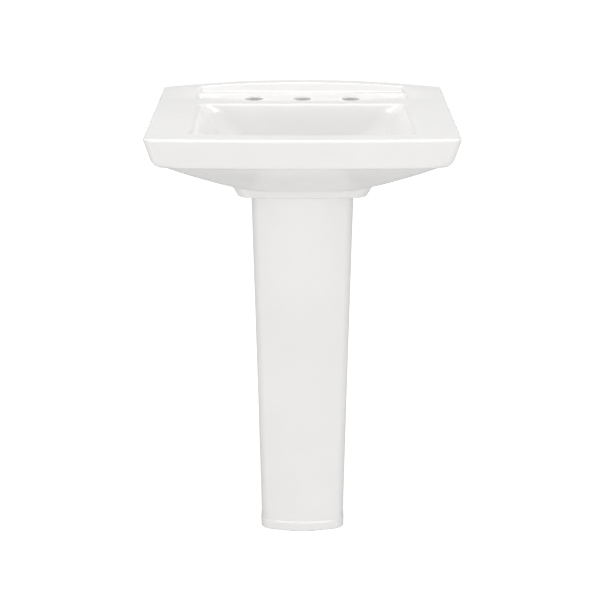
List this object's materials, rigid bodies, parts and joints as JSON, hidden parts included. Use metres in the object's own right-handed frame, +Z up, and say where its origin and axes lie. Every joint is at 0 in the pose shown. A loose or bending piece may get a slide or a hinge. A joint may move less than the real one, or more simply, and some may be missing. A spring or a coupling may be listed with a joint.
{
  "type": "pedestal sink",
  "caption": "White glazed china pedestal sink: wide rectangular basin with a sunk faucet deck and arched back rail, a tapered pedestal, a push drain and a trap behind it.",
  "frame": {"origin": "on the floor under the middle of the basin's plan", "axes": "+Z up, front of the basin toward -Y, wall side toward +Y, +X to the right seen from the front"},
  "size_m": [0.6156, 0.52, 0.8956],
  "materials": {
    "china": "glossy",
    "chrome": "polished",
    "brass": "turned",
    "rubber": "matte",
    "foam": "matte",
    "nylon": "matte",
    "acetal": "satin",
    "spring_steel": "drawn"
  },
  "bodies": {
    "fixture": {"basin": "china", "pedestal": "china", "drain_body": "chrome", "flange_gasket": "foam", "tapered_washer": "rubber", "friction_washer": "nylon", "drain_locknut": "brass", "push_cartridge": "acetal", "cartridge_spring": "spring_steel", "tailpiece": "chrome", "trap_inlet_nut": "chrome", "trap_inlet_washer": "rubber", "j_bend": "chrome", "cleanout_plug": "chrome", "cleanout_gasket": "rubber", "trap_union_nut": "chrome", "trap_union_washer": "rubber", "trap_arm": "chrome", "wall_escutcheon": "chrome"},
    "stopper": {"stopper_cap": "chrome", "stopper_gasket": "rubber", "stopper_stem": "brass"}
  },
  "joints": [
    {"name": "stopper_push", "type": "slide", "parent": "fixture", "child": "stopper", "axis": [0, 0, 1], "range_m": [-0.008, 0], "stiffness_N_per_m": 400, "springref_m": 0.01, "deforming": ["cartridge_spring"]}
  ]
}
